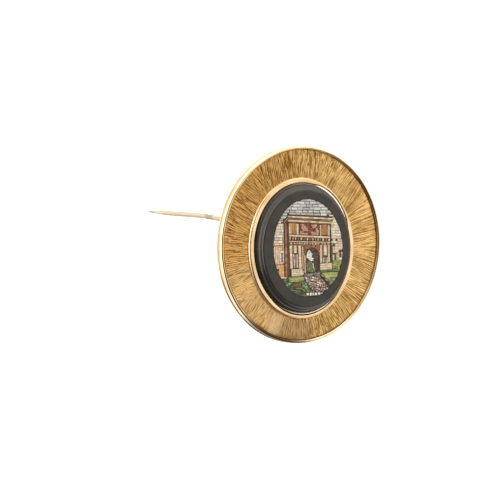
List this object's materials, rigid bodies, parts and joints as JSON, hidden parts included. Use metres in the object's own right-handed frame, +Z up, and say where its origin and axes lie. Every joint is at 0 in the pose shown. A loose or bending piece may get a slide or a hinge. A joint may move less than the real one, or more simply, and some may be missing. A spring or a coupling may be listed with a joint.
{
  "type": "micromosaic brooch",
  "caption": "Oval gold brooch with a stone mosaic picture of an arch set in black onyx, lying on its open pin.",
  "frame": {"origin": "middle of the footprint, on the surface that the brooch lies on", "axes": "+Z up off the surface, +X from the open pin's point towards the raised plaque's low edge, +Y towards the top of the picture"},
  "size_m": [0.0382, 0.0324, 0.0142],
  "materials": {
    "gold": "polished rims and bezel, brushed band",
    "pin_gold": "drawn wire, worn satin",
    "onyx": "polished black",
    "cement": "matt",
    "sky_glass": "ground flat",
    "house_glass": "ground flat",
    "garden_glass": "ground flat",
    "path_glass": "ground flat",
    "arch_glass": "ground flat",
    "shade_glass": "ground flat",
    "panel_glass": "ground flat"
  },
  "bodies": {
    "brooch": {"gold_mount": "gold", "onyx_plaque": "onyx", "mosaic_bed": "cement", "hinge_rivet": "pin_gold", "sky_tesserae": "sky_glass", "house_tesserae": "house_glass", "garden_tesserae": "garden_glass", "path_tesserae": "path_glass", "arch_tesserae": "arch_glass", "shade_tesserae": "shade_glass", "panel_tesserae": "panel_glass"},
    "pin": {"pin_stem": "pin_gold"}
  },
  "joints": [
    {"name": "pin_hinge", "type": "hinge", "parent": "brooch", "child": "pin", "pos_m": [-0.00278, 0.00331, 0.00863], "axis": [0.057, 0.9904, 0.126], "range_deg": [-127.3, 0]}
  ]
}
